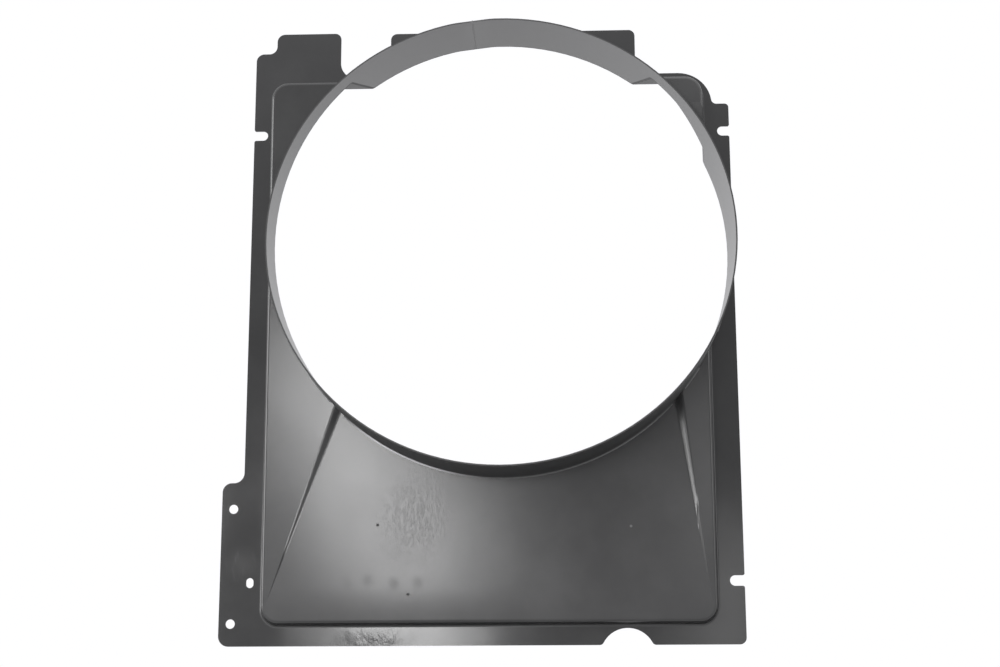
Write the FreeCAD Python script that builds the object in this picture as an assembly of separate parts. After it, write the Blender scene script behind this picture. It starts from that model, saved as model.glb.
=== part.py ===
import FreeCAD, Part
import math
import os

# Radiator fan shroud: a pressed sheet-steel panel with a rolled hoop welded round its fan opening.
# X is to the right, Z is up and the fan side faces -Y. The origin is on the fan axis, in the plane
# of the flange's front face. A height is measured from that plane towards the fan side, and angles
# are in degrees.

SHEET = 1.5                      # thickness of the panel and of the hoop

# Fan hoop
BORE_RADIUS = 225.0
RIM_HEIGHT = 84.2                # height of the slanted rim on the fan axis
RIM_SLANT = 3.86                 # the rim is lower at the top
SEAM_ANGLE = 97.0                # from +X, where the strip's ends meet
SEAM_FLAT = 26.0                 # straight stretch that the rolls leave at the strip's ends
SEAM_BLEND = 100.0               # bore radius between the straight stretch and the hoop's bend
SEAM_GAP = 1.6                   # root gap that the seam weld fills
SEAM_CROWN = 0.5                 # how far the seam weld stands out of the strip on each side
FOOT_WELD = 1.5                  # leg of the beads along the hoop's foot
WELD_STOP = 18.0                 # how far a bead stops short of a pan wall

# Pan: how far the foot of each wall lies from the fan opening's edge, drafts and face
PAN_LEFT_MARGIN = 10.7           # the hoop stands this far inside the left wall's foot
PAN_RIGHT_INSET = 20.2           # and crosses the right and top walls, which lie further in
PAN_TOP_INSET = 43.0
PAN_REACH = 141.5                # below the fan opening
PAN_CORNER = 17.0
LEFT_DRAFT = 6.9
RIGHT_DRAFT = 5.5
TOP_DRAFT = 14.5
BOTTOM_DRAFT = 15.0
FACE_HEIGHT = 38.8               # height of the face's plane on the fan axis
FACE_SLOPE = 4.52                # the face is higher at the top
PAN_EDGE_BEND = 3.2              # outer radius between the walls and the face
PAN_FOOT_BEND = 2.0              # inner radius between the flange and the walls
PAN_LEFT = -BORE_RADIUS - PAN_LEFT_MARGIN
PAN_RIGHT = BORE_RADIUS - PAN_RIGHT_INSET
PAN_TOP = BORE_RADIUS - PAN_TOP_INSET
PAN_BOTTOM = -BORE_RADIUS - PAN_REACH

# Flange: width of its ledges outside the pan, and the tabs that stand out of them
LEFT_LEDGE = 20.1
RIGHT_LEDGE = 26.2
BOTTOM_LEDGE = 19.3
NOTCH_LEDGE = 9.5
CROWN_LEDGE = 10.3               # above the pan's upper right corner
CROWN_SIDE_LEDGE = 9.3           # beside that corner
LEG_REACH = 21.1                 # how far the lower left tab stands out to the left
LEG_TOP_DROP = 2.6               # below the fan opening
LEFT_TAB_REACH = 17.0            # above the fan opening
LEFT_TAB_SETBACK = 21.3          # from the flange's left edge
LEFT_TAB_WIDTH = 66.8
CENTRE_TAB_REACH = 15.5          # above the fan opening
CENTRE_TAB_LEFT_INSET = 109.2    # from the fan opening's sides
CENTRE_TAB_RIGHT_INSET = 88.1
SHOULDER_DROP = 4.5              # below the fan opening's top
FLANGE_LEFT = PAN_LEFT - LEFT_LEDGE
FLANGE_RIGHT = PAN_RIGHT + RIGHT_LEDGE
FLANGE_BOTTOM = PAN_BOTTOM - BOTTOM_LEDGE
LEG_LEFT = FLANGE_LEFT - LEG_REACH
LEG_TOP = -BORE_RADIUS - LEG_TOP_DROP
SHOULDER_TOP = BORE_RADIUS - SHOULDER_DROP
LEFT_TAB_LEFT = FLANGE_LEFT + LEFT_TAB_SETBACK
LEFT_TAB_RIGHT = LEFT_TAB_LEFT + LEFT_TAB_WIDTH
LEFT_TAB_TOP = BORE_RADIUS + LEFT_TAB_REACH
NOTCH_BOTTOM = PAN_TOP + NOTCH_LEDGE
CENTRE_TAB_LEFT = -BORE_RADIUS + CENTRE_TAB_LEFT_INSET
CENTRE_TAB_RIGHT = BORE_RADIUS - CENTRE_TAB_RIGHT_INSET
CENTRE_TAB_TOP = BORE_RADIUS + CENTRE_TAB_REACH
CROWN_TOP = PAN_TOP + CROWN_LEDGE
CROWN_RIGHT = PAN_RIGHT + CROWN_SIDE_LEDGE
CROWN_WRAP = 16.9                # how far the crown's radius goes beyond the pan corner's
CROWN_RADIUS = PAN_CORNER + CROWN_WRAP
CROWN_ROOT = 5.0                 # fillet between the crown and the upper right tab

# Flange: corner radii
LEG_CORNER = 10.0
LEG_BEND = 9.0
NOTCH_CORNER = 18.0
TAB_CORNER = 6.5
SHOULDER_CORNER = 8.0
RIGHT_TAB_CORNER = 4.0

# Half-round relief in the bottom edge
RELIEF_INSET = 107.0             # its centre, from the fan opening's right side
RELIEF_DROP = 10.7               # its centre lies this far below the edge
RELIEF_RADIUS = 26.7
RELIEF_LIP = 4.0
RELIEF_X = BORE_RADIUS - RELIEF_INSET

# Fastener openings: depths of the open slots, places of the round holes and of the oval one
SLOT_WIDTH = 10.0
SLOT_LIP = 2.0
UPPER_LEFT_SLOT_DEPTH = 14.0
UPPER_LEFT_SLOT_DROP = 93.9      # below the fan opening's top
UPPER_RIGHT_SLOT_DEPTH = 12.2
UPPER_RIGHT_SLOT_DROP = 96.0
LOWER_RIGHT_SLOT_DEPTH = 14.1
LOWER_RIGHT_SLOT_RISE = 60.4     # above the bottom edge, as the hole and oval heights below
HOLE_RADIUS = 4.5
HOLE_INSET = 11.4                # from the lower left tab's edge
LOWER_HOLE_RISE = 21.5
HOLE_SPACING = 111.0
OVAL_INSET = 29.4                # from the lower left tab's edge
OVAL_RISE = 60.7
OVAL_RADIUS = 3.6
OVAL_LENGTH = 9.6

CORNER_DIP_Z = BORE_RADIUS - 83.0    # below here the face of the upper right corner falls
CORNER_DIP = 25.4                # at this angle

# Ramp: a recess in the pan's face between two creases that fade out at its lower end
CREASE_INSET = 6.5               # from the foot of the pan's wall to the crease's lower end
RAMP_RISE = 21.5                 # of the ramp's lower end above the bottom wall's foot
RAMP_CROWN_Z = -90.0             # inside the fan opening
RAMP_END_Z = PAN_BOTTOM + RAMP_RISE
LEFT_CREASE = (-136.8, PAN_LEFT + CREASE_INSET)    # X at RAMP_CROWN_Z and at RAMP_END_Z
RIGHT_CREASE = (162.0, PAN_RIGHT - CREASE_INSET)
RAMP_DEPTH = 6.0                 # at RAMP_DEPTH_Z, where the creases meet the hoop
RAMP_DEPTH_Z = -155.0
CREASE_WIDTH = 9.0               # width of a crease's wall there
CREASE_STRIPS = 5                # flat strips that make up the bend of a crease

OVERRUN = 20.0                   # how far cutting bodies run past what they cut
TINY = 1e-3


def tan(angle):
    return math.tan(math.radians(angle))


def cos(angle):
    return math.cos(math.radians(angle))


def at(x, z, height=0.0):
    return FreeCAD.Vector(x, -height, z)


def middle_of(edge):
    return edge.valueAt((edge.FirstParameter + edge.LastParameter) / 2)


def outward(face):
    """Direction that a face points in, at its middle."""
    u1, u2, v1, v2 = face.ParameterRange
    return face.normalAt((u1 + u2) / 2, (v1 + v2) / 2)


def is_wall(face):
    return abs(outward(face).y) < 0.5


def is_front(face):
    return outward(face).y < -0.5


def is_back(face):
    return outward(face).y > 0.5


def edges_between(body, first, second):
    """Edges that join a face that passes one test to a face that passes the other."""
    found = []
    for edge in body.Edges:
        faces = body.ancestorsOfType(edge, Part.Face)
        if len(faces) == 2:
            one, other = faces
            if (first(one) and second(other)) or (first(other) and second(one)):
                found.append(edge)
    return found


def line(start, end):
    return Part.LineSegment(start, end).toShape()


def arc(start, middle, end):
    return Part.Arc(start, middle, end).toShape()


def rounded_outline(corners, height=0.0):
    """Closed wire at one height through (x, z, radius) corners, each rounded with its radius."""
    starts = []
    mids = []
    ends = []
    for i, (x, z, radius) in enumerate(corners):
        here = at(x, z, height)
        before = at(*corners[i - 1][:2], height)
        after = at(*corners[(i + 1) % len(corners)][:2], height)
        to_before = (before - here).normalize()
        to_after = (after - here).normalize()
        half = to_before.getAngle(to_after) / 2
        bisector = (to_before + to_after).normalize()
        starts.append(here + to_before * (radius / math.tan(half)))
        mids.append(here + bisector * (radius / math.sin(half) - radius))
        ends.append(here + to_after * (radius / math.tan(half)))
    edges = []
    for i, (x, z, radius) in enumerate(corners):
        if radius > TINY:
            edges.append(arc(starts[i], mids[i], ends[i]))
        following = starts[(i + 1) % len(corners)]
        if ends[i].distanceToPoint(following) > TINY:
            edges.append(line(ends[i], following))
    return Part.Wire(edges)


def prism(wire, low, high):
    """Solid on a wire at height 0, from one height to another."""
    base = wire.copy()
    base.translate(at(0, 0, low))
    return Part.Face(base).extrude(at(0, 0, high - low))


def through_flange(wire):
    return prism(wire, -SHEET - OVERRUN, OVERRUN)


def corner_edges(plate, x, z):
    """Edges across the sheet at one corner of the flange's outline."""
    found = []
    for edge in plate.Edges:
        ends = [edge.valueAt(edge.FirstParameter), edge.valueAt(edge.LastParameter)]
        if all(math.hypot(end.x - x, end.z - z) < TINY for end in ends):
            found.append(edge)
    return found


def flange_corners():
    return [
        (LEG_LEFT, FLANGE_BOTTOM, LEG_CORNER),
        (FLANGE_RIGHT, FLANGE_BOTTOM, TAB_CORNER),
        (FLANGE_RIGHT, CROWN_TOP - CROWN_RADIUS, RIGHT_TAB_CORNER),
        (CROWN_RIGHT, CROWN_TOP - CROWN_RADIUS, 0.0),
        (CROWN_RIGHT, CROWN_TOP, CROWN_RADIUS),
        (CENTRE_TAB_RIGHT, CROWN_TOP, TAB_CORNER),
        (CENTRE_TAB_RIGHT, CENTRE_TAB_TOP, TAB_CORNER),
        (CENTRE_TAB_LEFT, CENTRE_TAB_TOP, TAB_CORNER),
        (CENTRE_TAB_LEFT, NOTCH_BOTTOM, NOTCH_CORNER),
        (LEFT_TAB_RIGHT, NOTCH_BOTTOM, NOTCH_CORNER),
        (LEFT_TAB_RIGHT, LEFT_TAB_TOP, TAB_CORNER),
        (LEFT_TAB_LEFT, LEFT_TAB_TOP, SHOULDER_CORNER),
        (LEFT_TAB_LEFT, SHOULDER_TOP, SHOULDER_CORNER),
        (FLANGE_LEFT, SHOULDER_TOP, SHOULDER_CORNER),
        (FLANGE_LEFT, LEG_TOP, LEG_CORNER),
        (LEG_LEFT, LEG_TOP, LEG_BEND),
    ]


def slotted(plate, edge_x, z, depth):
    """Plate with an open slot of one depth in the flange's side edge."""
    half = SLOT_WIDTH / 2
    way = math.copysign(1.0, edge_x)
    tip_x = edge_x - way * depth
    centre = tip_x + way * half
    mouth = edge_x + way * OVERRUN
    plate = plate.cut(through_flange(Part.Wire([
        arc(at(centre, z - half), at(tip_x, z), at(centre, z + half)),
        line(at(centre, z + half), at(mouth, z + half)),
        line(at(mouth, z + half), at(mouth, z - half)),
        line(at(mouth, z - half), at(centre, z - half)),
    ])))
    lips = corner_edges(plate, edge_x, z - half) + corner_edges(plate, edge_x, z + half)
    return plate.makeFillet(SLOT_LIP, lips)


def relieved(plate):
    """Plate with the half-round relief in its bottom edge, its lips rounded."""
    half = math.sqrt(RELIEF_RADIUS ** 2 - RELIEF_DROP ** 2)
    plate = plate.cut(through_flange(circle(RELIEF_X, FLANGE_BOTTOM - RELIEF_DROP, RELIEF_RADIUS)))
    lips = corner_edges(plate, RELIEF_X - half, FLANGE_BOTTOM)
    lips += corner_edges(plate, RELIEF_X + half, FLANGE_BOTTOM)
    return plate.makeFillet(RELIEF_LIP, lips)


def circle(x, z, radius):
    return Part.Wire(Part.makeCircle(radius, at(x, z), at(0, 0, 1)))


def oval(x, z):
    """Upright slot outline with round ends."""
    reach = OVAL_LENGTH / 2
    run = reach - OVAL_RADIUS
    left = x - OVAL_RADIUS
    right = x + OVAL_RADIUS
    return Part.Wire([
        arc(at(right, z + run), at(x, z + reach), at(left, z + run)),
        line(at(left, z + run), at(left, z - run)),
        arc(at(left, z - run), at(x, z - reach), at(right, z - run)),
        line(at(right, z - run), at(right, z + run)),
    ])


def flange_plate():
    """Flat sheet with the flange's outline, holes, slots and relief, before it is pressed."""
    plate = prism(rounded_outline(flange_corners()), -SHEET, 0.0)
    plate = plate.makeFillet(CROWN_ROOT, corner_edges(plate, CROWN_RIGHT, CROWN_TOP - CROWN_RADIUS))
    plate = slotted(plate, FLANGE_LEFT, BORE_RADIUS - UPPER_LEFT_SLOT_DROP, UPPER_LEFT_SLOT_DEPTH)
    plate = slotted(plate, FLANGE_RIGHT, BORE_RADIUS - UPPER_RIGHT_SLOT_DROP, UPPER_RIGHT_SLOT_DEPTH)
    plate = slotted(plate, FLANGE_RIGHT, FLANGE_BOTTOM + LOWER_RIGHT_SLOT_RISE, LOWER_RIGHT_SLOT_DEPTH)
    plate = relieved(plate)
    for rise in (LOWER_HOLE_RISE, LOWER_HOLE_RISE + HOLE_SPACING):
        hole = circle(LEG_LEFT + HOLE_INSET, FLANGE_BOTTOM + rise, HOLE_RADIUS)
        plate = plate.cut(through_flange(hole))
    return plate.cut(through_flange(oval(LEG_LEFT + OVAL_INSET, FLANGE_BOTTOM + OVAL_RISE)))


def face_height(z):
    return FACE_HEIGHT + z * tan(FACE_SLOPE)


def solid_of(faces):
    """Solid inside flat faces that are given by their corner points."""
    flats = [Part.Face(Part.makePolygon(corners + corners[:1])) for corners in faces]
    return Part.makeSolid(Part.makeShell(flats)).removeSplitter()


def block(low, high):
    """Solid between two outlines with the same number of corners, its sides flat."""
    sides = []
    for i, corner in enumerate(low):
        following = (i + 1) % len(low)
        sides.append([corner, low[following], high[following], high[i]])
    return solid_of([low, high] + sides)


def pan_outline(height, depth):
    """Corners of the pan's walls at one height, moved inwards by depth."""
    left = PAN_LEFT + depth / cos(LEFT_DRAFT) + height * tan(LEFT_DRAFT)
    right = PAN_RIGHT - depth / cos(RIGHT_DRAFT) - height * tan(RIGHT_DRAFT)
    top = PAN_TOP - depth / cos(TOP_DRAFT) - height * tan(TOP_DRAFT)
    bottom = PAN_BOTTOM + depth / cos(BOTTOM_DRAFT) + height * tan(BOTTOM_DRAFT)
    return [at(left, bottom, height), at(right, bottom, height),
            at(right, top, height), at(left, top, height)]


def pan_walls(depth):
    """Drafted block with rounded corners inside the pan's walls, moved inwards by depth."""
    low = -SHEET
    high = face_height(PAN_TOP) + OVERRUN
    walls = block(pan_outline(low, depth), pan_outline(high, depth))
    corners = [edge for edge in walls.Edges if abs(middle_of(edge).y + (low + high) / 2) < TINY]
    return walls.makeFillet(PAN_CORNER - depth, corners)


def space_before_face(depth):
    """Everything in front of the plane of the pan's face, moved inwards by depth."""
    wide = FLANGE_RIGHT - LEG_LEFT
    bottom = PAN_BOTTOM - OVERRUN
    top = PAN_TOP + OVERRUN
    clear = face_height(top) + 2 * OVERRUN
    side = [at(-wide, bottom, face_height(bottom) - depth), at(-wide, top, face_height(top) - depth),
            at(-wide, top, clear), at(-wide, bottom, clear)]
    return block(side, [corner + at(2 * wide, 0) for corner in side])


def corner_dip(depth):
    """Space in front of the upper right corner, where the face falls towards the hoop's side."""
    inner = CORNER_DIP_Z
    low = CORNER_DIP_Z - BORE_RADIUS / 3
    high = CORNER_DIP_Z + OVERRUN
    crest = face_height(CORNER_DIP_Z) - depth
    clear = face_height(PAN_TOP) + 2 * OVERRUN
    side = [at(inner, low, crest - (CORNER_DIP_Z - low) * tan(CORNER_DIP)),
            at(inner, high, crest + OVERRUN * tan(CORNER_DIP)),
            at(inner, high, clear), at(inner, low, clear)]
    return block(side, [corner + at(BORE_RADIUS, 0) for corner in side])


def crease_line(crease_x, way, step):
    """Points across one crease at RAMP_CROWN_Z, from the face down to the ramp's floor."""
    level = face_height(RAMP_CROWN_Z)
    width = CREASE_WIDTH * step / RAMP_DEPTH
    points = []
    for i in range(CREASE_STRIPS + 1):
        turn = i / CREASE_STRIPS
        share = (1 - math.cos(math.pi * turn)) / 2
        points.append(at(crease_x + way * width * (turn - 0.5), RAMP_CROWN_Z, level - step * share))
    return points


def ramp_space(depth):
    """Everything in front of the ramp between its creases, moved inwards by depth."""
    (left_x, left_end), (right_x, right_end) = LEFT_CREASE, RIGHT_CREASE
    step = RAMP_DEPTH * (RAMP_CROWN_Z - RAMP_END_Z) / (RAMP_DEPTH_Z - RAMP_END_Z)
    left = crease_line(left_x, 1, step)
    right = crease_line(right_x, -1, step)
    left_tip = at(left_end, RAMP_END_Z, face_height(RAMP_END_Z))
    right_tip = at(right_end, RAMP_END_Z, face_height(RAMP_END_Z))
    clear = at(0, 0, 2 * OVERRUN)
    end = left + right[::-1]
    lid = [left[0] + clear, left_tip + clear, right_tip + clear, right[0] + clear]
    faces = [
        end + [lid[3], lid[0]],
        lid,
        [left[-1], right[-1], right_tip, left_tip],
        [left[0], left_tip, lid[1], lid[0]],
        [right[0], right_tip, lid[2], lid[3]],
        [left_tip, right_tip, lid[2], lid[1]],
    ]
    for edge, tip in ((left, left_tip), (right, right_tip)):
        for i in range(CREASE_STRIPS):
            faces.append([edge[i], edge[i + 1], tip])
    space = solid_of(faces)
    space.translate(at(0, 0, -depth))
    return space


def pan_body(depth):
    """Solid inside the pan's walls and face with its edges bent, moved inwards by depth."""
    body = pan_walls(depth).cut(space_before_face(depth))
    body = body.makeFillet(PAN_EDGE_BEND - depth, edges_between(body, is_wall, is_front))
    return body.cut(ramp_space(depth)).cut(corner_dip(depth)).removeSplitter()


def foot_edges(body, side, height):
    """Edges where the pan's walls leave the flange at one height."""
    found = []
    for edge in edges_between(body, is_wall, side):
        middle = middle_of(edge)
        along_x = PAN_LEFT - SHEET < middle.x < PAN_RIGHT + SHEET
        along_z = PAN_BOTTOM - SHEET < middle.z < PAN_TOP + SHEET
        if along_x and along_z and abs(middle.y + height) < TINY:
            found.append(edge)
    return found


def pressed_front():
    """Solid body, still unopened, that has the panel's front surface."""
    wide = FLANGE_RIGHT - LEG_LEFT
    tall = CENTRE_TAB_TOP - FLANGE_BOTTOM
    behind = prism(rounded_outline([(-wide, -tall, 0.0), (wide, -tall, 0.0), (wide, tall, 0.0),
                                    (-wide, tall, 0.0)]), -SHEET - 2 * OVERRUN, -SHEET)
    body = flange_plate().fuse(pan_body(0.0).cut(behind)).removeSplitter()
    return body.makeFillet(PAN_FOOT_BEND, foot_edges(body, is_front, 0.0))


def hoop_outline(offset):
    """Bore outline moved outwards by offset: a circle with a straight stretch at the seam."""
    out, along = seam_axes()
    outer = BORE_RADIUS + offset
    blend = SEAM_BLEND + offset
    half = SEAM_FLAT / 2
    centre_out = seam_distance() - SEAM_BLEND
    flat = centre_out + blend
    turn = math.atan2(half, centre_out)

    def on_circle(angle):
        return (out * math.cos(angle) + along * math.sin(angle)) * outer

    def blend_arc(side):
        centre = out * centre_out + along * (side * half)
        middle = out * math.cos(turn / 2) + along * (side * math.sin(turn / 2))
        return centre + out * blend, centre + middle * blend, on_circle(side * turn)

    first_flat, first_middle, first_end = blend_arc(1)
    last_flat, last_middle, last_end = blend_arc(-1)
    return Part.Wire([
        line(last_flat, first_flat),
        arc(first_flat, first_middle, first_end),
        arc(first_end, out * -outer, last_end),
        arc(last_end, last_middle, last_flat),
    ])


def seam_distance():
    """Distance of the hoop's straight stretch from the fan axis, on the bore side."""
    return SEAM_BLEND + math.sqrt((BORE_RADIUS - SEAM_BLEND) ** 2 - (SEAM_FLAT / 2) ** 2)


def seam_axes():
    """Directions out through the seam and along the strip there."""
    angle = math.radians(SEAM_ANGLE)
    return at(math.cos(angle), math.sin(angle)), at(-math.sin(angle), math.cos(angle))


def strip_height():
    """Height of the hoop's blank, which clears the rim all round."""
    return RIM_HEIGHT + (BORE_RADIUS + OVERRUN) * tan(RIM_SLANT)


def space_before_rim():
    wide = BORE_RADIUS + OVERRUN
    low = RIM_HEIGHT - wide * tan(RIM_SLANT)
    high = RIM_HEIGHT + wide * tan(RIM_SLANT)
    clear = high + OVERRUN
    side = Part.makePolygon([at(-wide, wide, low), at(-wide, -wide, high), at(-wide, -wide, clear),
                             at(-wide, wide, clear), at(-wide, wide, low)])
    return Part.Face(side).extrude(at(2 * wide, 0))


def seam_section(half, out_low, out_high):
    """Rectangle across the seam, from out_low to out_high outside the bore."""
    out, along = seam_axes()
    low = out * (seam_distance() + out_low)
    high = out * (seam_distance() + out_high)
    corners = [low - along * half, low + along * half, high + along * half, high - along * half]
    return Part.makePolygon(corners + corners[:1])


def seam_weld(front):
    """Weld that fills the gap between the strip's ends, with a low crown on each side."""
    out, along = seam_axes()
    half = SEAM_GAP / 2
    inner = out * seam_distance()
    outer = out * (seam_distance() + SHEET)
    section = Part.Wire([
        arc(outer - along * half, outer + out * SEAM_CROWN, outer + along * half),
        line(outer + along * half, inner + along * half),
        arc(inner + along * half, inner - out * SEAM_CROWN, inner - along * half),
        line(inner - along * half, outer - along * half),
    ])
    return prism(section, 0.0, strip_height()).cut(front).cut(space_before_rim())


def fan_ring(front):
    """Rolled strip, scribed to the panel's front at its foot and cut at a slant at its rim."""
    ring = prism(hoop_outline(SHEET), 0.0, strip_height())
    ring = ring.cut(prism(hoop_outline(0.0), -OVERRUN, strip_height() + OVERRUN))
    gap = prism(seam_section(SEAM_GAP / 2, -SHEET, 2 * SHEET), -OVERRUN, strip_height() + OVERRUN)
    return ring.cut(front).cut(space_before_rim()).cut(gap)


def crossing(start, end):
    """Angle where a line that starts inside the hoop's outer circle leaves it."""
    radius = BORE_RADIUS + SHEET
    (x, z), (end_x, end_z) = start, end
    run_x, run_z = end_x - x, end_z - z
    square = run_x ** 2 + run_z ** 2
    half = x * run_x + z * run_z
    share = (math.sqrt(half ** 2 - square * (x ** 2 + z ** 2 - radius ** 2)) - half) / square
    return math.degrees(math.atan2(z + share * run_z, x + share * run_x))


def wall_angles(height):
    """Angles where the hoop's outer wall meets the planes of the pan's right and top walls."""
    radius = BORE_RADIUS + SHEET
    right = math.acos((PAN_RIGHT - height * tan(RIGHT_DRAFT)) / radius)
    top = math.asin((PAN_TOP - height * tan(TOP_DRAFT)) / radius)
    return math.degrees(right), math.degrees(top)


def bead(first, last, height, slope):
    """Flat-faced bead between the hoop's outer wall and a flat base, from one angle to another."""
    radius = BORE_RADIUS + SHEET
    ring = Part.makeCone(radius + FOOT_WELD, radius - FOOT_WELD, 2 * FOOT_WELD, at(0, 0, height),
                         FreeCAD.Vector(0, -1, -slope))
    reach = 2 * radius
    turns = [first, (first + last) / 2, last]
    rays = [at(reach * cos(turn), reach * cos(90 - turn), -OVERRUN) for turn in turns]
    centre = at(0, 0, -OVERRUN)
    sector = Part.Face(Part.makePolygon([centre] + rays + [centre]))
    ring = ring.common(sector.extrude(at(0, 0, strip_height() + OVERRUN)))
    return ring.cut(prism(hoop_outline(SHEET), -OVERRUN, strip_height()))


def foot_weld():
    """Beads along the hoop's foot, which stop short of the pan's walls, the creases and the seam."""
    wall_stop = math.degrees(WELD_STOP / BORE_RADIUS)
    stop = math.degrees(CREASE_WIDTH / BORE_RADIUS)
    right, top = wall_angles(face_height(PAN_TOP))
    foot_right, foot_top = wall_angles(0.0)
    left_crease = 360 + crossing(*zip(LEFT_CREASE, (RAMP_CROWN_Z, RAMP_END_Z)))
    right_crease = 360 + crossing(*zip(RIGHT_CREASE, (RAMP_CROWN_Z, RAMP_END_Z)))
    face = (FACE_HEIGHT, tan(FACE_SLOPE))
    fall = RAMP_DEPTH / (RAMP_DEPTH_Z - RAMP_END_Z)
    ramp = (FACE_HEIGHT + RAMP_END_Z * fall, tan(FACE_SLOPE) - fall)
    flat = (0.0, 0.0)
    runs = [
        (foot_top + wall_stop, SEAM_ANGLE - stop, flat),
        (SEAM_ANGLE + stop, 180 - foot_top - wall_stop, flat),
        (180 - top + wall_stop, left_crease - stop, face),
        (left_crease + stop, right_crease - stop, ramp),
        (right_crease + stop, 360 - right - wall_stop, face),
        (360 - foot_right + wall_stop, 360 + foot_right - wall_stop, flat),
    ]
    return Part.makeCompound([bead(first, last, *base) for first, last, base in runs])


def pressed_panel(front):
    """Panel's sheet: the front body hollowed out from behind and opened for the fan."""
    panel = front.cut(pan_body(SHEET))
    panel = panel.makeFillet(PAN_FOOT_BEND + SHEET, foot_edges(panel, is_back, -SHEET))
    return panel.cut(prism(hoop_outline(0.0), -SHEET - OVERRUN, strip_height()))


def pan_footprint():
    """Space in front of and behind the pan, as far out as the bend at its foot reaches."""
    left = PAN_LEFT - PAN_FOOT_BEND
    right = PAN_RIGHT + PAN_FOOT_BEND
    top = PAN_TOP + PAN_FOOT_BEND
    bottom = PAN_BOTTOM - PAN_FOOT_BEND
    radius = PAN_CORNER + PAN_FOOT_BEND
    corners = [(left, bottom, radius), (right, bottom, radius),
               (right, top, radius), (left, top, radius)]
    return prism(rounded_outline(corners), -SHEET - OVERRUN, strip_height())


def main():
    os.makedirs("parts", exist_ok=True)
    front = pressed_front()
    seam = seam_weld(front)
    panel = pressed_panel(front)
    pan, corner = sorted(panel.common(pan_footprint()).Solids, key=lambda solid: -solid.Volume)
    pieces = {
        "panel_flange": panel.cut(pan_footprint()),
        "panel_pan": pan,
        "panel_corner": corner,
        "fan_ring": fan_ring(front),
        "ring_seam_weld": seam,
        "ring_foot_weld": foot_weld(),
    }
    for name, shape in pieces.items():
        box = shape.BoundBox
        print(name, len(shape.Solids), shape.isValid(), round(shape.Volume, 1),
              [round(v, 1) for v in (box.XMin, box.XMax, box.YMin, box.YMax, box.ZMin, box.ZMax)])
        shape.exportStep("parts/%s.step" % name)


if __name__ == "__main__":
    main()
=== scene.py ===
import math

import bmesh
import bpy
from mathutils import Euler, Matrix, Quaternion, Vector


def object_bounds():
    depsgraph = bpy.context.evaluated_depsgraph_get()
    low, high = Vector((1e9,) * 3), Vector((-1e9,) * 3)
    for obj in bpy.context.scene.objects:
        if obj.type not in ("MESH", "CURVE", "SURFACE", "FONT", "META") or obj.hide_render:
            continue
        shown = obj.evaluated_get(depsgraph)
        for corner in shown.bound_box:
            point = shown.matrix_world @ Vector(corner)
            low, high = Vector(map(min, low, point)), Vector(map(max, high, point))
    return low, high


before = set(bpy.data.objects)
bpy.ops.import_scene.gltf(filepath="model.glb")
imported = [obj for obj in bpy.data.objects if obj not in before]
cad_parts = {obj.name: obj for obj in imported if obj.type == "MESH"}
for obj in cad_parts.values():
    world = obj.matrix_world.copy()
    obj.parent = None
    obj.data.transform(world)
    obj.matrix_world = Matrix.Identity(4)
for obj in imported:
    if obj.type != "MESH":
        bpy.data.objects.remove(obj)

bl_info = {
    "name": "Radiator fan shroud",
    "version": (1, 0, 0),
    "blender": (4, 5, 0),
    "location": "3D View > Sidebar > Fan shroud",
    "description": "Finishes and studio for a pressed sheet-steel radiator fan shroud",
    "category": "Object",
}

CAD_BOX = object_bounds()
FLANGE_NODES = ("panel_flange",)
PAN_NODES = ("panel_pan", "panel_corner")
HOOP_NODES = ("fan_ring",)
WELD_NODES = ("ring_seam_weld", "ring_foot_weld")

# Marks on the part, real ones and painted highlights, each with its centre and its reach along X,
# Y and Z, in metres
TAB_SCUFF = ((-0.256, 0.0, -0.307), (0.020, 0.01, 0.022))
# Dent in the bottom strip with hammered waves; the lighter scratch pattern drawn inside it is a
# painted highlight
DENT_AND_HIGHLIGHT_PATCH = ((-0.124, 0.0, -0.377), (0.045, 0.01, 0.016))
WIPED_PATCH = ((-0.086, -0.018, -0.264), (0.055, 0.08, 0.07))
DUSTY_CORNER = ((0.18, -0.055, 0.155), (0.06, 0.1, 0.06))
SEAM_PATCH = ((-0.024, -0.045, 0.2235), (0.022, 0.06, 0.03))
# Stretch of the foot bead drawn near-white: a painted highlight
BEAD_PAINTED_HIGHLIGHT = ((-0.1, -0.03, -0.205), (0.1, 0.08, 0.06))

# Small marks on the ramp: their centres, and the reach that each kind has
DARK_SPECKS = ((-0.1219, -0.016, -0.2713), (-0.0923, -0.010, -0.3376))
LIGHT_SPECK = (0.1224, -0.015, -0.2739)
SPECK_REACH = (0.0024, 0.02, 0.0024)
THUMB_MARKS = ((-0.1510, -0.011, -0.3275), (-0.1313, -0.011, -0.3245),
               (-0.1060, -0.011, -0.3275), (-0.0825, -0.011, -0.3265))
THUMB_REACH = (0.008, 0.03, 0.010)

# Sizes of the part that the finishes follow, in metres
SHEET = 0.0015                     # thickness of the sheet
EDGE_BAND = (0.0001, 0.0003)       # depth below a face of the sheet where its cut edge starts
HOOP_RADIUS = 0.2265               # outside of the hoop
LEG_X = (-0.275, -0.21)            # the flange's left leg, from its outer side to the pan
TOP_WALL_Z = (0.15, 0.16)          # the pan's top wall starts between these
RAMP_END = -0.345                  # height of the bend at the ramp's lower end
RAMP_SLOPE = 0.0316                # change of slope at that bend
RAMP_BLEND = 0.015                 # reach of its blend, above and below
CREASES_X = (-0.214, 0.188)        # the two creases lie between these
CREASES_TOP = -0.14                # and below this height
CREASES_FADE = (0.004, 0.01)       # fade of their easing, sideways and upwards

# Heights that only the paint's normal shows, in metres
LEG_LEAN = 0.0013                  # rise of the flange's left leg towards the pan
HAMMERED_DEPTH = 0.0006
WIPED_DEPTH = 0.000035
BEAD_RIPPLE = 0.0003

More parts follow.
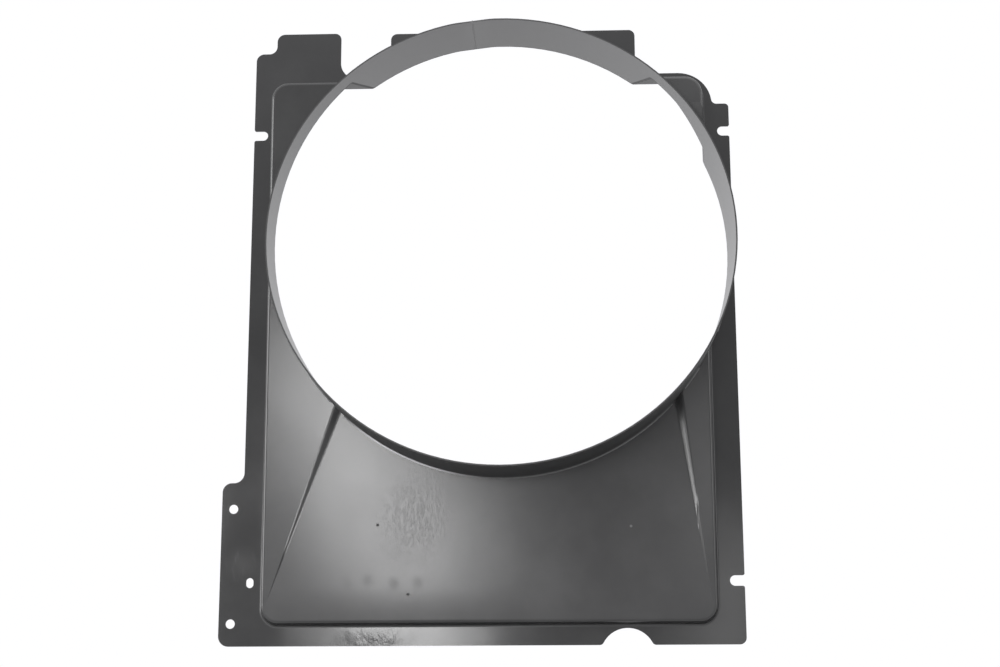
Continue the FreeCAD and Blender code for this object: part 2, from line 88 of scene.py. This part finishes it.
# Parts of a direction, each from where its mask starts to where it is full
CREASE_LEAN = (0.05, 0.2)          # sideways, in the normal of a crease's wall
FACING_DOWN = (-0.5, -0.6)         # upwards, in the normal under the top wall
ROOM_BEHIND = (-0.15, 0.35)        # backwards, into the room
ROOM_ABOVE = (0.1, 0.6)            # upwards, into the room

CREASE_EASE = 3.5                  # how far a crease's wall is turned towards the face
SPECK_EDGE = (0.3, 0.6)            # makes a speck's rim crisp
COAT_ROUGHNESS = 0.3
FLOOR_REACH = 12.0                 # from the part to the floor's edge, in metres
FLOOR_BOUNCE = 0.2                 # level of the floor in the light that it sends back

# Lamps: name, place, width and height in metres, and tilt in degrees
LAMPS = (
    ("softbox", (-0.315, -1.62, -0.19), (0.2, 0.48), 32.0),
    ("front_card", (0.37, -1.62, -0.25), (0.12, 0.3), 0.0),
    ("left_card", (-1.9, -0.9, -0.1), (1.5, 1.8), 0.0),
    ("right_card", (1.9, -1.2, -0.1), (0.8, 1.4), 0.0),
)

# Socket numbers of a Mix node that mixes colours
MIX_FACTOR, MIX_FIRST, MIX_SECOND = 0, 6, 7
MIX_RESULT = 2


class Signal:
    """A shader socket that can be used in sums, differences and products."""

    def __init__(self, graph, socket):
        self.graph = graph
        self.socket = socket

    def maths(self, operation, *terms):
        """Result of a Math node."""
        return self.graph.node("ShaderNodeMath", {"operation": operation}, *terms)

    def __add__(self, other):
        return self.maths("ADD", self, other)

    __radd__ = __add__

    def __sub__(self, other):
        return self.maths("SUBTRACT", self, other)

    def __rsub__(self, other):
        return self.maths("SUBTRACT", other, self)

    def __mul__(self, other):
        return self.maths("MULTIPLY", self, other)

    __rmul__ = __mul__

    def sign(self):
        """-1, 0 or 1."""
        return self.maths("SIGN", self)

    def magnitude(self):
        """The value without its sign."""
        return self.maths("ABSOLUTE", self)

    def over(self, low, high, step="SMOOTHSTEP"):
        """0 up to low, 1 from high on, with a step between. Low may be the larger one."""
        settings = {"interpolation_type": step, "data_type": "FLOAT"}
        return self.graph.node("ShaderNodeMapRange", settings, self, low, high, 0.0, 1.0)

    def along(self, axis):
        """One coordinate of a vector."""
        return self.graph.node("ShaderNodeSeparateXYZ", {}, self, output=axis)


class Graph:
    """The node tree of one material or world."""

    def __init__(self, tree):
        self.tree = tree
        tree.nodes.clear()

    def fill(self, socket, value):
        """Links a signal to a socket, or sets the socket to a value."""
        if isinstance(value, Signal):
            self.tree.links.new(value.socket, socket)
        elif value is not None:
            socket.default_value = value

    def node(self, kind, settings, *inputs, output=0, **named):
        """Adds a node, sets it, fills its sockets in order or by name, and gives one output."""
        made = self.tree.nodes.new(kind)
        for name, value in settings.items():
            setattr(made, name, value)
        for key, value in [*enumerate(inputs), *named.items()]:
            socket = key.replace("_", " ") if isinstance(key, str) else key
            self.fill(made.inputs[socket], value)
        return Signal(self, made.outputs[output] if made.outputs else None)

    def place(self):
        """Object coordinates."""
        return self.node("ShaderNodeTexCoord", {}, output="Object")

    def normal(self):
        """Direction in which the surface faces."""
        return self.node("ShaderNodeTexCoord", {}, output="Normal")

    def front(self):
        """1 on the sheet's front side, -1 on its back."""
        return self.normal().along("Y").sign() * -1.0

    def stretched(self, scale, centre=(0.0, 0.0, 0.0)):
        """Object coordinates, centred and scaled along each axis."""
        shift = [-size * middle for size, middle in zip(scale, centre)]
        return self.node("ShaderNodeMapping", {}, self.place(), Location=shift, Scale=scale)

    def length(self, vector):
        """Length of a vector."""
        return self.node("ShaderNodeVectorMath", {"operation": "LENGTH"}, vector, output="Value")

    def noise(self, vector, scale, detail=2.0, roughness=0.5):
        """Cloudy pattern from 0 to 1."""
        return self.node("ShaderNodeTexNoise", {}, Vector=vector, Scale=scale, Detail=detail,
                         Roughness=roughness)

    def mix(self, factor, first, second):
        """Colour between two colours."""
        made = self.node("ShaderNodeMix", {"data_type": "RGBA"}, output=MIX_RESULT)
        sockets = made.socket.node.inputs
        self.fill(sockets[MIX_FACTOR], factor)
        self.fill(sockets[MIX_FIRST], first)
        self.fill(sockets[MIX_SECOND], second)
        return made

    def bump(self, height, strength, distance, normal=None):
        """Normal of a surface that a height shapes."""
        return self.node("ShaderNodeBump", {}, Strength=strength, Distance=distance, Height=height,
                         Normal=normal)

    def near(self, centre, reach):
        """1 at a place on the part, falling smoothly to 0 at its reach along each axis."""
        scale = [1.0 / size for size in reach]
        return 1.0 - self.length(self.stretched(scale, centre)).over(0.0, 1.0)

    def finish(self, shader):
        """Ends the material."""
        self.node("ShaderNodeOutputMaterial", {}, shader)


def grey(level):
    """Neutral grey with a trace of blue."""
    return (level, level, level * 1.02, 1.0)


def colour(values):
    """Opaque colour."""
    return (*values, 1.0)


class ShroudPaint(bpy.types.PropertyGroup):
    """Colours and gloss of the painted sheet steel."""

    paint: bpy.props.FloatVectorProperty(
        name="Paint", description="Colour of the paint", subtype="COLOR", size=3,
        min=0.0, max=1.0, default=(0.016, 0.016, 0.0163))
    # Colour of the real dust film, and also of the painted highlights on the flange's cut edges
    # and dented patch, inside the hoop and on the welds
    dust_and_highlight: bpy.props.FloatVectorProperty(
        name="Dust", description="Colour of the film of dust and handling marks", subtype="COLOR",
        size=3, min=0.0, max=1.0, default=(0.16, 0.16, 0.16))
    flange_roughness: bpy.props.FloatProperty(
        name="Flange roughness", description="Roughness of the flange's paint", subtype="FACTOR",
        min=0.0, max=1.0, default=0.17)
    pan_roughness: bpy.props.FloatProperty(
        name="Pan roughness", description="Roughness of the pan's paint", subtype="FACTOR",
        min=0.0, max=1.0, default=0.22)
    hoop_roughness: bpy.props.FloatProperty(
        name="Hoop roughness", description="Roughness of the paint on the hoop and the welds",
        subtype="FACTOR", min=0.0, max=1.0, default=0.33)
    hoop_coat: bpy.props.FloatProperty(
        name="Hoop coat", description="Strength of the clear top coat inside the hoop",
        subtype="FACTOR", min=0.0, max=1.0, default=0.5)
    flange_waves: bpy.props.FloatProperty(
        name="Flange waves", description="Height of the slow waves in the flange",
        subtype="DISTANCE", unit="LENGTH", min=0.0, max=0.002, default=0.0003)
    pan_waves: bpy.props.FloatProperty(
        name="Pan waves", description="Height of the slow waves in the pan and the hoop",
        subtype="DISTANCE", unit="LENGTH", min=0.0, max=0.002, default=0.0003)
    peel_height: bpy.props.FloatProperty(
        name="Paint peel", description="Height of the fine ripple of sprayed paint",
        subtype="DISTANCE", unit="LENGTH", min=0.0, max=0.0005, default=0.00001)


class ShroudStage(bpy.types.PropertyGroup):
    """Camera, floor, lamps and room."""

    camera_place: bpy.props.FloatVectorProperty(
        name="Camera place", description="Where the camera stands", subtype="XYZ", unit="LENGTH",
        size=3, default=(0.0553, -1.6075, -0.4311))
    camera_turn: bpy.props.FloatVectorProperty(
        name="Camera turn", description="Rotation of the camera", subtype="EULER", size=3,
        default=[math.radians(turn) for turn in (102.318, 0.198, 2.138)])
    lens: bpy.props.FloatProperty(
        name="Lens", description="Focal length of the camera in millimetres", unit="CAMERA",
        min=10.0, max=200.0, default=59.42)
    floor_gap: bpy.props.FloatProperty(
        name="Floor gap", description="Height of the part's lower edge above the floor",
        subtype="DISTANCE", unit="LENGTH", min=0.0, max=1.0, default=0.075)
    floor_colour: bpy.props.FloatVectorProperty(
        name="Floor", description="Colour of the floor", subtype="COLOR", size=3,
        min=0.0, max=1.0, default=(0.82, 0.82, 0.82))
    softbox_power: bpy.props.FloatProperty(
        name="Softbox", description="Power of the lamp in front", unit="POWER", min=0.0,
        max=500.0, default=5.4)
    front_card_power: bpy.props.FloatProperty(
        name="Front card", description="Power of the small weak lamp in front on the right",
        unit="POWER", min=0.0, max=500.0, default=0.35)
    left_card_power: bpy.props.FloatProperty(
        name="Left card", description="Power of the wide lamp on the left", unit="POWER",
        min=0.0, max=500.0, default=55.0)
    right_card_power: bpy.props.FloatProperty(
        name="Right card", description="Power of the wide lamp on the right", unit="POWER",
        min=0.0, max=500.0, default=10.5)
    backdrop_level: bpy.props.FloatProperty(
        name="Backdrop level", description="Brightness of the pale room behind the part",
        min=0.0, max=5.0, default=0.9)
    room_level: bpy.props.FloatProperty(
        name="Room level", description="Brightness of the dim room in front of the part",
        min=0.0, max=5.0, default=0.6)
    ceiling_level: bpy.props.FloatProperty(
        name="Ceiling level", description="Brightness of the pale ceiling in front of the part",
        min=0.0, max=5.0, default=1.6)


def new_material(name):
    """A material and its empty node tree."""
    material = bpy.data.materials.new(name)
    material.use_nodes = True
    return material, Graph(material.node_tree)


def dress(names, material):
    """Gives CAD nodes one material."""
    for name in names:
        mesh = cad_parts[name].data
        mesh.materials.clear()
        mesh.materials.append(material)


def painted(graph, paint, roughness, normal, coat=0.0):
    """Shader of painted sheet."""
    return graph.node("ShaderNodeBsdfPrincipled", {}, Base_Color=paint, Roughness=roughness,
                      Coat_Weight=coat, Coat_Roughness=COAT_ROUGHNESS, Normal=normal)


def sheet_waves(graph, scale, height, normal=None):
    """Normal of pressed sheet, with its slow waves."""
    slow = graph.noise(graph.place(), scale, detail=1.0, roughness=0.4)
    return graph.bump(slow, 1.0, height, normal)


def peel(graph, look, normal):
    """Normal with the fine ripple of sprayed paint."""
    fine = graph.noise(graph.place(), scale=900.0, detail=1.0)
    return graph.bump(fine, 1.0, look.peel_height, normal)


def cut_edge(graph):
    """1 on the cut edges of the flange, between the sheet's two faces."""
    depth = graph.place().along("Y")
    start, full = EDGE_BAND
    return depth.over(start, full) * (1.0 - depth.over(SHEET - full, SHEET - start))


def leaning_leg(graph, normal):
    """Normal of the flange's left leg, which rises a little towards the pan."""
    lean = graph.place().along("X").over(*LEG_X) * graph.front()
    return graph.bump(lean, 1.0, LEG_LEAN, normal)


def eased_creases(graph):
    """Normal of the sheet, with the walls of the two creases turned towards the face."""
    place = graph.place()
    left, right = CREASES_X
    sideways, upwards = CREASES_FADE
    zone = place.along("X").over(left, left + sideways)
    zone = zone * place.along("X").over(right, right - sideways)
    zone = zone * place.along("Z").over(CREASES_TOP, CREASES_TOP - upwards)
    steep = graph.normal().along("X").magnitude().over(*CREASE_LEAN)
    push = steep * zone * graph.front() * -CREASE_EASE
    turn = graph.node("ShaderNodeCombineXYZ", {}, 0.0, push, 0.0)
    turned = graph.node("ShaderNodeVectorMath", {"operation": "ADD"}, graph.normal(), turn)
    return graph.node("ShaderNodeVectorMath", {"operation": "NORMALIZE"}, turned)


def eased_ramp_end(graph, normal):
    """Normal that blends the ramp's floor into the flat below it, on both sides of the sheet."""
    height = graph.place().along("Z")
    share = height.over(RAMP_END - RAMP_BLEND, RAMP_END + RAMP_BLEND, "LINEAR")
    floor = height.over(RAMP_END, RAMP_END + RAMP_BLEND, "LINEAR")
    lift = (floor - share * share) * graph.front() * (RAMP_SLOPE * RAMP_BLEND)
    return graph.bump(lift, 1.0, 1.0, normal)


def under_top_wall(graph):
    """1 on the inner side of the pan's top wall."""
    high = graph.place().along("Z").over(*TOP_WALL_Z)
    return graph.normal().along("Z").over(*FACING_DOWN) * high


def specks(graph, centres):
    """1 on small round specks."""
    return any_of([graph.near(centre, SPECK_REACH).over(*SPECK_EDGE) for centre in centres])


def any_of(masks):
    """1 where any of several marks is."""
    return sum(masks[1:], masks[0])


class SHROUD_OT_flange(bpy.types.Operator):
    """Paints the flat flange"""

    bl_idname = "shroud.flange"
    bl_label = "Paint the flange"

    def execute(self, context):
        look = context.scene.shroud_paint
        material, graph = new_material("flange_paint")
        mottle = graph.noise(graph.place(), scale=16.0, detail=4.0, roughness=0.55)
        upright = graph.stretched((1.0, 1.0, 0.3))
        scratches = graph.noise(upright, scale=130.0, detail=3.0, roughness=0.6).over(0.5, 0.66)
        scuff = graph.near(*TAB_SCUFF) * (0.35 + scratches * 0.65)
        dent_and_highlight = graph.near(*DENT_AND_HIGHLIGHT_PATCH)
        # Mottled dust film; the cut edges are drawn lighter still, a painted highlight along them
        film = mottle.over(0.3, 0.8) * 0.05 + cut_edge(graph) * 0.3
        # The tab's scuffs are real wear; inside the dented patch the lighter scratch pattern is a
        # painted highlight
        rubbed_and_highlight = scuff * 0.12 + dent_and_highlight * scratches * 0.2
        paint = graph.mix(film, colour(look.paint), colour(look.dust_and_highlight))
        paint = graph.mix(rubbed_and_highlight, paint, colour(look.dust_and_highlight))
        rough = look.flange_roughness + (mottle - 0.5) * 0.06 + scuff * 0.1 + dent_and_highlight * 0.04
        normal = leaning_leg(graph, sheet_waves(graph, 15.0, look.flange_waves))
        hammered = graph.noise(graph.place(), scale=85.0, detail=3.0, roughness=0.55) * dent_and_highlight
        normal = graph.bump(hammered, 1.0, HAMMERED_DEPTH, normal)
        graph.finish(painted(graph, paint, rough, peel(graph, look, normal)))
        dress(FLANGE_NODES, material)
        return {"FINISHED"}


class SHROUD_OT_pan(bpy.types.Operator):
    """Paints the raised pan with its ramp"""

    bl_idname = "shroud.pan"
    bl_label = "Paint the pan"

    def execute(self, context):
        look = context.scene.shroud_paint
        material, graph = new_material("pan_paint")
        mottle = graph.noise(graph.place(), scale=14.0, detail=4.0, roughness=0.55)
        upright = graph.stretched((1.0, 1.0, 0.5))
        strokes = graph.noise(upright, scale=340.0, detail=4.0, roughness=0.7).over(0.4, 0.7)
        wiped = graph.near(*WIPED_PATCH) * strokes
        thumbs = any_of([graph.near(centre, THUMB_REACH) for centre in THUMB_MARKS])
        dark = specks(graph, DARK_SPECKS)
        light = specks(graph, [LIGHT_SPECK])
        corner = graph.near(*DUSTY_CORNER)
        film = mottle.over(0.3, 0.8) * 0.08 + 0.04 + wiped * 0.03 + light * 0.5 + corner * 0.25
        paint = graph.mix(film, colour(look.paint), colour(look.dust_and_highlight))
        paint = graph.mix(dark, paint, grey(0.004))
        rough = look.pan_roughness + (mottle - 0.5) * 0.07 + wiped * 0.035 + thumbs * 0.05
        rough = rough + under_top_wall(graph) * 0.3 + dark * 0.5
        normal = sheet_waves(graph, 8.0, look.pan_waves, eased_creases(graph))
        normal = eased_ramp_end(graph, normal)
        normal = graph.bump(wiped, 1.0, WIPED_DEPTH, normal)
        graph.finish(painted(graph, paint, rough, peel(graph, look, normal)))
        dress(PAN_NODES, material)
        return {"FINISHED"}


class SHROUD_OT_hoop(bpy.types.Operator):
    """Paints the rolled hoop"""

    bl_idname = "shroud.hoop"
    bl_label = "Paint the rolled hoop"

    def execute(self, context):
        look = context.scene.shroud_paint
        material, graph = new_material("hoop_paint")
        drawn = graph.stretched((1.0, 0.3, 1.0))
        mottle = graph.noise(drawn, scale=18.0, detail=3.0, roughness=0.5)
        patch = graph.near(*SEAM_PATCH)
        radius = graph.length(graph.stretched((1.0, 0.0, 1.0)))
        outside = radius.over(HOOP_RADIUS - SHEET * 0.6, HOOP_RADIUS - SHEET * 0.4)
        # Mottled dust film with a lighter patch at the seam, drawn on the inner wall only: there
        # it also stands in for the wall's sheen, a painted highlight; the outer wall keeps the
        # dark paint
        film = mottle.over(0.35, 0.75) * 0.1 + patch * 0.15
        paint = graph.mix(film * (1.0 - outside), colour(look.paint), colour(look.dust_and_highlight))
        rough = look.hoop_roughness + (mottle - 0.5) * 0.1 + outside * 0.2
        coat = look.hoop_coat * (1.0 - outside)
        normal = sheet_waves(graph, 8.0, look.pan_waves)
        graph.finish(painted(graph, paint, rough, peel(graph, look, normal), coat))
        dress(HOOP_NODES, material)
        return {"FINISHED"}


class SHROUD_OT_welds(bpy.types.Operator):
    """Paints the weld beads, drawn lighter than the paint as a painted highlight"""

    bl_idname = "shroud.welds"
    bl_label = "Paint the welds"

    def execute(self, context):
        look = context.scene.shroud_paint
        material, graph = new_material("weld_paint")
        ripple = graph.noise(graph.place(), scale=420.0, detail=2.0, roughness=0.6)
        bead_highlight = graph.near(*BEAD_PAINTED_HIGHLIGHT)
        # The whole bead is drawn much lighter than the paint, with a ripple: a painted highlight
        # for the light line along the foot and over the seam
        paint = graph.mix(0.4 + ripple * 0.6, colour(look.paint), colour(look.dust_and_highlight))
        paint = graph.mix(bead_highlight * 1.5, paint, grey(0.6))
        rough = look.hoop_roughness + (ripple - 0.5) * 0.1
        normal = graph.bump(ripple, 0.8, BEAD_RIPPLE)
        graph.finish(painted(graph, paint, rough, normal))
        dress(WELD_NODES, material)
        return {"FINISHED"}


def add_lamp(name, place, target, size, tilt, power):
    """Adds a soft rectangular lamp that faces the target, tilted about its own axis."""
    lamp = bpy.data.lights.new(name, "AREA")
    lamp.shape = "RECTANGLE"
    lamp.size, lamp.size_y = size
    lamp.energy = power
    holder = bpy.data.objects.new(name, lamp)
    holder.location = place
    way = Vector(place) - target
    spin = Quaternion((0.0, 0.0, 1.0), math.radians(tilt))
    holder.rotation_euler = (way.to_track_quat("Z", "Y") @ spin).to_euler()
    holder.visible_camera = False
    bpy.context.scene.collection.objects.link(holder)


class SHROUD_OT_stage(bpy.types.Operator):
    """Sets up the floor, the lamps, the pale room and the camera"""

    bl_idname = "shroud.stage"
    bl_label = "Set up the studio"

    def execute(self, context):
        stage = context.scene.shroud_stage
        self.add_floor(stage)
        self.add_room(stage)
        self.add_camera(context.scene, stage)
        centre = (CAD_BOX[0] + CAD_BOX[1]) / 2
        for name, place, size, tilt in LAMPS:
            add_lamp(name, place, centre, size, tilt, getattr(stage, name + "_power"))
        return {"FINISHED"}

    def add_floor(self, stage):
        """Adds a wide floor, pale to the camera and in reflections."""
        mesh = bpy.data.meshes.new("floor")
        work = bmesh.new()
        bmesh.ops.create_grid(work, x_segments=1, y_segments=1, size=FLOOR_REACH)
        bmesh.ops.translate(work, verts=work.verts, vec=(0.0, 0.0, CAD_BOX[0].z - stage.floor_gap))
        work.to_mesh(mesh)
        work.free()
        floor = bpy.data.objects.new("floor", mesh)
        bpy.context.scene.collection.objects.link(floor)
        material, graph = new_material("floor_card")
        seen = graph.node("ShaderNodeLightPath", {}, output="Is Camera Ray")
        glossy = graph.node("ShaderNodeLightPath", {}, output="Is Glossy Ray")
        card = graph.mix(seen + glossy, grey(FLOOR_BOUNCE), colour(stage.floor_colour))
        graph.finish(graph.node("ShaderNodeBsdfPrincipled", {}, Base_Color=card, Roughness=0.9))
        mesh.materials.append(material)

    def add_room(self, stage):
        """Lights the part from a pale room that is white to the camera."""
        world = bpy.data.worlds.new("room")
        world.use_nodes = True
        bpy.context.scene.world = world
        graph = Graph(world.node_tree)
        way = graph.node("ShaderNodeTexCoord", {}, output="Generated")
        behind = way.along("Y").over(*ROOM_BEHIND)
        above = way.along("Z").over(*ROOM_ABOVE)
        front = stage.room_level + above * (stage.ceiling_level - stage.room_level)
        level = front + behind * (stage.backdrop_level - front)
        seen = graph.node("ShaderNodeLightPath", {}, output="Is Camera Ray")
        strength = level + seen * (1.0 - level)
        room = graph.node("ShaderNodeBackground", {}, grey(1.0), strength)
        graph.node("ShaderNodeOutputWorld", {}, room)

    def add_camera(self, scene, stage):
        """Adds the camera and looks through it."""
        camera = bpy.data.cameras.new("camera")
        camera.sensor_fit = "HORIZONTAL"
        camera.sensor_width = 36.0
        camera.lens = stage.lens
        holder = bpy.data.objects.new("camera", camera)
        holder.location = stage.camera_place
        holder.rotation_euler = Euler(stage.camera_turn)
        scene.collection.objects.link(holder)
        scene.camera = holder
        scene.view_settings.view_transform = "Standard"


class SHROUD_PT_panel(bpy.types.Panel):
    """Colours, gloss, studio and steps of the shroud"""

    bl_idname = "SHROUD_PT_panel"
    bl_label = "Fan shroud"
    bl_space_type = "VIEW_3D"
    bl_region_type = "UI"
    bl_category = "Fan shroud"

    def draw(self, context):
        for group in (context.scene.shroud_paint, context.scene.shroud_stage):
            box = self.layout.box()
            for name in group.__annotations__:
                box.prop(group, name)
        for step in STEPS:
            self.layout.operator(step.bl_idname)


STEPS = (SHROUD_OT_flange, SHROUD_OT_pan, SHROUD_OT_hoop, SHROUD_OT_welds, SHROUD_OT_stage)
CLASSES = (ShroudPaint, ShroudStage, *STEPS, SHROUD_PT_panel)


def register():
    for item in CLASSES:
        bpy.utils.register_class(item)
    bpy.types.Scene.shroud_paint = bpy.props.PointerProperty(type=ShroudPaint)
    bpy.types.Scene.shroud_stage = bpy.props.PointerProperty(type=ShroudStage)


def unregister():
    del bpy.types.Scene.shroud_stage
    del bpy.types.Scene.shroud_paint
    for item in reversed(CLASSES):
        bpy.utils.unregister_class(item)


def main():
    register()
    bpy.ops.shroud.flange()
    bpy.ops.shroud.pan()
    bpy.ops.shroud.hoop()
    bpy.ops.shroud.welds()
    bpy.ops.shroud.stage()


if __name__ == "__main__":
    main()
